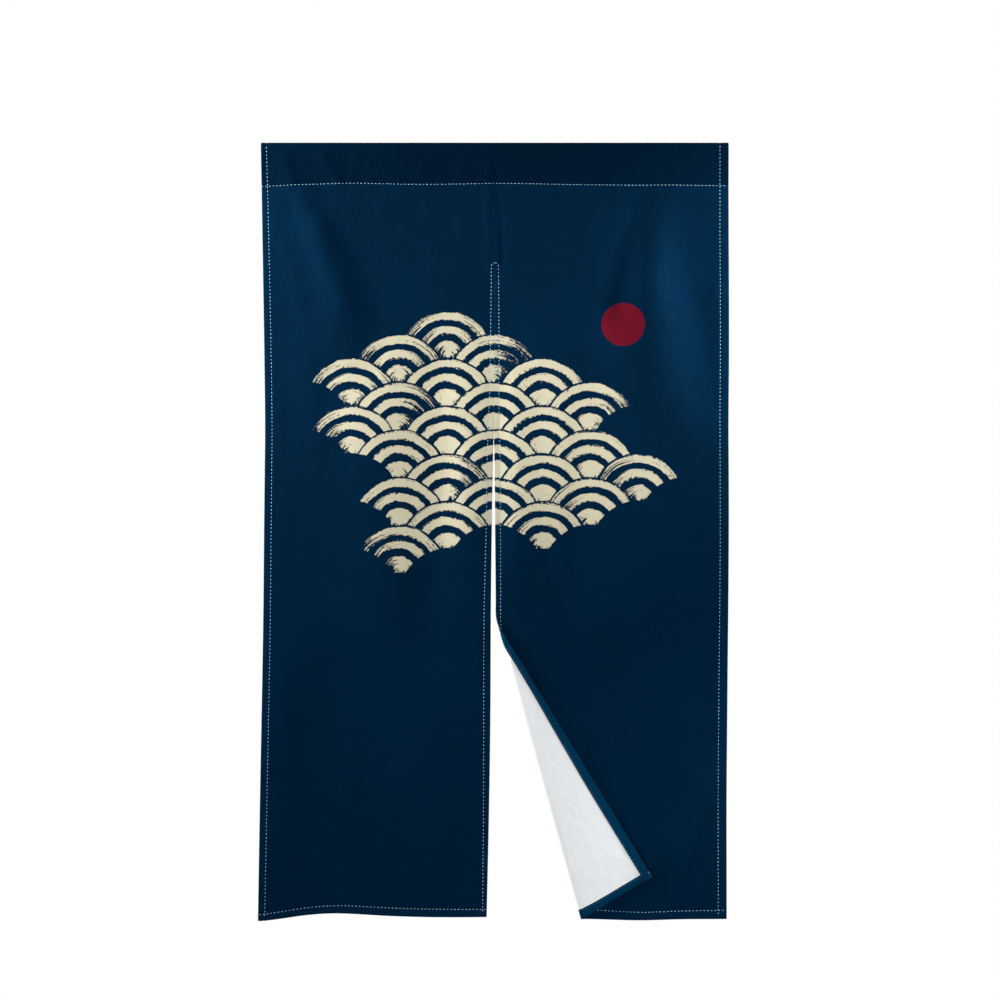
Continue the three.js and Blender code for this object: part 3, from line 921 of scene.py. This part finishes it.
class Paint:
    """A node material in the making, with its mesh's u and v."""

    def __init__(self, name):
        self.material = bpy.data.materials.new(name)
        self.material.use_nodes = True
        self.tree = self.material.node_tree
        self.shader = self.tree.nodes["Principled BSDF"]
        uv = new_node(self.tree, "UVMap", {}, uv_map="flat")
        split = new_node(self.tree, "SeparateXYZ", {0: uv.outputs[0]})
        self.u, self.v = (Value(split.outputs[k]) for k in (0, 1))

    def attribute(self, name):
        node = new_node(self.tree, "Attribute", {}, attribute_name=name)
        return Value(node.outputs["Fac"])

    def noise(self, u, v, detail=2.0, roughness=0.5, third=0.0):
        join = new_node(self.tree, "CombineXYZ", {0: u, 1: v, 2: third})
        inputs = {"Scale": 1.0, "Detail": detail, "Roughness": roughness, "Vector": join.outputs[0]}
        return Value(new_node(self.tree, "TexNoise", inputs).outputs[0])

    def grain(self, per_u, per_v, *texture, third=0.0):
        """Noise over u and v, with that many features a metre."""
        return self.noise(self.u * per_u, self.v * per_v, *texture, third=third)

    def blend(self, share, low, high):
        """A colour between two, each a colour or a socket."""
        inputs = {0: share, 6: low, 7: high}
        return new_node(self.tree, "Mix", inputs, data_type="RGBA").outputs[2]

    def bump(self, heights):
        """Chains bumps, each a height Value and its distance in metres."""
        normal = {}
        for height, distance in heights:
            inputs = {"Distance": distance, "Height": height, **normal}
            normal = {"Normal": new_node(self.tree, "Bump", inputs).outputs[0]}
        fill(self.shader, normal)

    def set(self, **values):
        fill(self.shader, {key.replace("_", " "): value for key, value in values.items()})


def distance(x, y):
    return (x * x + y * y).op("SQRT")


WEAVE = 0.00042  # a thread's pitch, in metres


def weave(paint):
    """Height of a plain weave with slubbed threads."""
    turn = 2 * np.pi / (2 * WEAVE)
    across = (paint.u * turn).op("SINE")
    down = (paint.v * turn).op("SINE")
    return across * down * 0.5 + 0.5


def slub(paint):
    """Threads of uneven thickness, along and across."""
    across = paint.grain(900.0, 26.0, 2.0)
    down = paint.grain(26.0, 900.0, 2.0, third=7.0)
    return across + down


SCALLOP = 0.088  # radius of one wave of the print
BANDS = ((0.80, 0.955), (0.50, 0.66), (-0.1, 0.34))  # of a wave, as shares of its radius
BAND_EDGE = 0.008  # half the width of a band's soft edge
WOBBLE = 0.006  # how far the brush strays
PRINT_MIDDLE = (-0.020, -0.600)
PRINT_REACH = (0.285, 0.205)  # half the width and height of the waves' oval
SUN_MIDDLE, SUN_RADIUS = (0.236, -0.335), 0.040


def print_mask(paint):
    """Brushed waves: overlapping scallops of concentric bands. Gives the cream's share."""
    fine = paint.grain(190.0, 190.0, 3.0, 0.6, third=3.0) - 0.5
    x = paint.u + (paint.grain(30.0, 30.0, 3.0) - 0.5) * WOBBLE
    y = paint.v + (paint.grain(30.0, 30.0, 3.0, third=9.0) - 0.5) * WOBBLE
    row_pitch = SCALLOP / 2
    front_row = (y * -1.0 / row_pitch + 2.0).op("FLOOR")
    picked = None
    for behind in (2, 1, 0):
        row = front_row - float(behind)
        odd = (row * 0.5).op("FRACT") * 2.0
        column = ((x - odd * SCALLOP) / (2 * SCALLOP)).op("ROUND")
        centre = column * (2 * SCALLOP) + odd * SCALLOP, row * -row_pitch
        if picked:
            inside = distance(x - centre[0], y - centre[1]).op("LESS_THAN", SCALLOP)
            centre = [inside.mix(*pair) for pair in zip(picked, centre)]
        picked = centre
    dx, dy = x - picked[0], y - picked[1]
    radius = distance(dx, dy) / SCALLOP
    angle = dx.op("ARCTAN2", dy)

    seed = picked[0] * 37.0 + picked[1] * 91.0
    chance = paint.noise(picked[0] * 23.0, picked[1] * 31.0, 0.0)
    ex, ey = ((at - middle) / far for at, middle, far in zip(picked, PRINT_MIDDLE, PRINT_REACH))
    reach = distance(ex, ey) + (chance - 0.5) * 0.9
    present = reach.op("LESS_THAN", 1.0)

    bristle = paint.noise(radius * 26.0, angle * 1.3, 2.0, 0.6, third=seed)
    streak = paint.noise(radius * 60.0, angle * 0.9, 2.0, 0.5, third=seed + 5.0)
    dry = ((angle + (chance - 0.5) * 3.0).op("ABSOLUTE") * 0.34 + reach * 0.42).rise(0.25, 1.05)
    ragged = radius + (fine * 0.09 + (bristle - 0.5) * 0.10)
    bands = None
    for inner, outer in BANDS:
        past_inner = ragged.rise(inner - BAND_EDGE, inner + BAND_EDGE)
        past_outer = ragged.rise(outer - BAND_EDGE, outer + BAND_EDGE)
        band = past_inner * (past_outer * -1.0 + 1.0)
        bands = band if bands is None else bands.op("MAXIMUM", band)
    worn = (streak * 0.6 + bristle * 0.4 + fine * 0.35 - dry * 0.33).rise(0.25, 0.31)
    return bands * worn * present


def sun_mask(paint):
    """A brushed red disc beside the waves. Gives the red's share."""
    fine = paint.grain(160.0, 160.0, 3.0, 0.6, third=5.0) - 0.5
    bristle = paint.grain(26.0, 500.0, 2.0, 0.6, third=11.0)
    dx, dy = paint.u - SUN_MIDDLE[0], paint.v - SUN_MIDDLE[1]
    radius = distance(dx, dy) / SUN_RADIUS + fine * 0.06
    disc = radius.rise(0.98, 1.0) * -1.0 + 1.0
    return disc * (bristle + fine * 0.4).rise(0.30, 0.38)


def relief(paint, threads, wrinkle_height):
    """The bumps of a cloth's fine wrinkles, threads and weave; heights are in metres."""
    wrinkle = paint.grain(34.0, 30.0, 3.0, 0.55, third=2.0)
    paint.bump([(wrinkle, wrinkle_height), (threads, 0.00012), (weave(paint), 0.00009)])


NAVY = (0.00025, 0.0130, 0.0372)
NAVY_DARK = (0.00018, 0.0097, 0.0286)
# A paler navy for the hems: painted light, standing in for the light the hem strips catch.
PAINTED_LIGHT_NAVY = (0.0005, 0.0285, 0.0720)
SHEEN = (0.02, 0.45, 1.0)
CREAM = (0.56, 0.52, 0.375)
RED = (0.132, 0.0045, 0.0125)


def printed_cloth(name, painted_shade=1.0):
    """The dyed and printed face; a factor below 1 darkens its navy all over, as painted shade."""
    paint = Paint(name)
    mottle = paint.grain(5.0, 3.5, 3.0, 0.55)
    threads = slub(paint)
    # Both navies take that factor: painted shade where it is below 1.
    deep = tuple(c * painted_shade for c in NAVY_DARK)
    full = tuple(c * painted_shade for c in NAVY)
    ground = paint.blend((mottle * 0.7 + threads * 0.25 - 0.1).rise(0.15, 0.75), deep, full)
    # Painted light: the hems get the paler navy by their share.
    ground = paint.blend(paint.attribute("hem"), ground, PAINTED_LIGHT_NAVY)
    cream = print_mask(paint)
    shade = (paint.grain(14.0, 14.0, 3.0, third=21.0) * 0.5 + threads * 0.25).rise(0.2, 0.8)
    cream_colour = paint.blend(shade, tuple(c * 0.93 for c in CREAM), CREAM)
    colour = paint.blend(cream, ground, cream_colour)
    colour = paint.blend(sun_mask(paint), colour, RED)
    paint.set(Base_Color=colour, Roughness=(threads * 0.5).mix(0.74, 0.92),
              Specular_IOR_Level=0.06, Specular_Tint=SHEEN)
    relief(paint, threads, 0.0022)
    return paint.material


def back_cloth(name):
    paint = Paint(name)
    threads = slub(paint)
    mottle = paint.grain(9.0, 7.0, 3.0)
    share = (mottle * 0.5 + threads * 0.25).rise(0.2, 0.8)
    colour = paint.blend(share, (0.795, 0.82, 0.84), (0.835, 0.855, 0.87))
    paint.set(Base_Color=colour, Roughness=(threads * 0.5).mix(0.72, 0.9), Specular_IOR_Level=0.15)
    relief(paint, threads, 0.0018)
    return paint.material


def thread_paint(name, dark, light):
    paint = Paint(name)
    twist = (paint.u * 9000.0 + paint.v).op("SINE") * 0.5 + 0.5
    colour = paint.blend(twist, dark, light)
    paint.set(Base_Color=colour, Roughness=twist.mix(0.62, 0.45), Specular_IOR_Level=0.35)
    paint.bump([(twist, 0.00008)])
    return paint.material


def floor_paint(name):
    paint = Paint(name)
    grain = paint.grain(6.0, 6.0, 4.0)
    paint.set(Base_Color=paint.blend(grain, (0.70, 0.69, 0.67), (0.76, 0.75, 0.73)),
              Roughness=grain.mix(0.7, 0.85))
    return paint.material


# ---- Camera, light and floor ----

CAMERA_AT = (0.0095, -4.006, -0.6584)
CAMERA_DISTANCE = 4.0  # to the cloth
SEEN_WIDTH = 1.84  # metres across the picture at the cloth
SENSOR = 36.0


def make_camera():
    """Level, square on to the cloth."""
    data = bpy.data.cameras.new("camera")
    data.sensor_width = SENSOR
    data.lens = SENSOR * CAMERA_DISTANCE / SEEN_WIDTH
    camera = put_in_scene("camera", data)
    camera.location = CAMERA_AT
    camera.rotation_euler = (np.pi / 2, 0, 0)
    bpy.context.scene.camera = camera


def area_light(name, at, towards, size, power, spread):
    data = bpy.data.lights.new(name, "AREA")
    data.shape = "RECTANGLE"
    data.size, data.size_y = size
    data.energy = power
    data.spread = np.radians(spread)
    lamp = put_in_scene(name, data)
    lamp.location = at
    aim = Vector(towards) - Vector(at)
    lamp.rotation_euler = aim.to_track_quat("-Z", "Y").to_euler()


def make_world(seen, lit):
    """White, of one strength where the camera sees it and another where it lights the cloth."""
    world = bpy.data.worlds.new("studio")
    world.use_nodes = True
    tree = world.node_tree
    path = tree.nodes.new("ShaderNodeLightPath")
    strength = Value(path.outputs["Is Camera Ray"]).mix(lit, seen)
    fill(tree.nodes["Background"], {"Color": (1, 1, 1), "Strength": strength})
    bpy.context.scene.world = world


FLOOR_AT = -1.9


def make_floor():
    rings, sectors = 6, 64
    angle = np.arange(sectors) * 2 * np.pi / sectors
    reach = np.linspace(0.1, 1.0, rings)
    x, y = np.outer(reach, np.cos(angle)), np.outer(reach, np.sin(angle))
    grid = np.stack([x, y, np.full(x.shape, FLOOR_AT)], axis=-1)
    points = np.concatenate([grid.reshape(-1, 3), [[0, 0, FLOOR_AT]]])
    faces = []
    for k in range(sectors):
        after = (k + 1) % sectors
        faces.append((rings * sectors, k, after))
        for r in range(0, (rings - 1) * sectors, sectors):
            faces.append((r + k, r + sectors + k, r + sectors + after, r + after))
    return new_object("floor", points, faces, points[:, :2], [floor_paint("floor")])


# ---- Assembly ----

make_camera()
make_world(1.0, 0.27)
for light in [
    ("left_light", (-1.30, -0.34, 0.20), (-0.10, 0, -0.30), (0.2, 0.6), 10.8, 90),
    ("lower_left_light", (-1.30, -0.34, -0.60), (-0.10, 0, -1.10), (0.2, 0.9), 2.6, 90),
    ("right_light", (1.05, -0.24, -0.12), (0.36, 0, -0.33), (0.2, 0.5), 3.5, 65),
    ("lower_right_light", (1.05, -0.24, -0.95), (0.36, 0, -1.25), (0.2, 0.5), 1.2, 60),
    ("front_light", (0.10, -1.50, -1.25), (0.00, 0, -1.25), (1.0, 0.6), 5.3, 180),
]:
    area_light(*light)
bpy.context.scene.view_settings.view_transform = "Standard"
make_floor()

cloth_print = printed_cloth("cloth_print")
# The pocket's copy of the print, its navy darkened to 0.64: painted shade for the darker tone the
# doubled, tilted pocket takes under the lights.
heading_print_painted_shade = printed_cloth("heading_print_painted_shade", 0.64)
cloth_back = back_cloth("cloth_back")
thread = thread_paint("thread", (0.23, 0.45, 0.63), (0.40, 0.67, 0.88))
bobbin_thread = thread_paint("bobbin_thread", (0.02, 0.09, 0.17), (0.04, 0.15, 0.26))

cloth = cloth_sheet().build("cloth", cloth_print, cloth_back)
heading = heading_sheet().build("heading", heading_print_painted_shade, cloth_back)
front_stitches = stitches("front_stitches", False, thread)
back_stitches = stitches("back_stitches", True, bobbin_thread)

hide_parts("split_cloth")
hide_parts("rod_pocket")
for piece, slot in [
    (cloth, "printed_cloth"),
    (heading, "printed_cloth"),
    (front_stitches, "sewing_thread"),
    (back_stitches, "sewing_thread"),
]:
    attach(piece, "root")
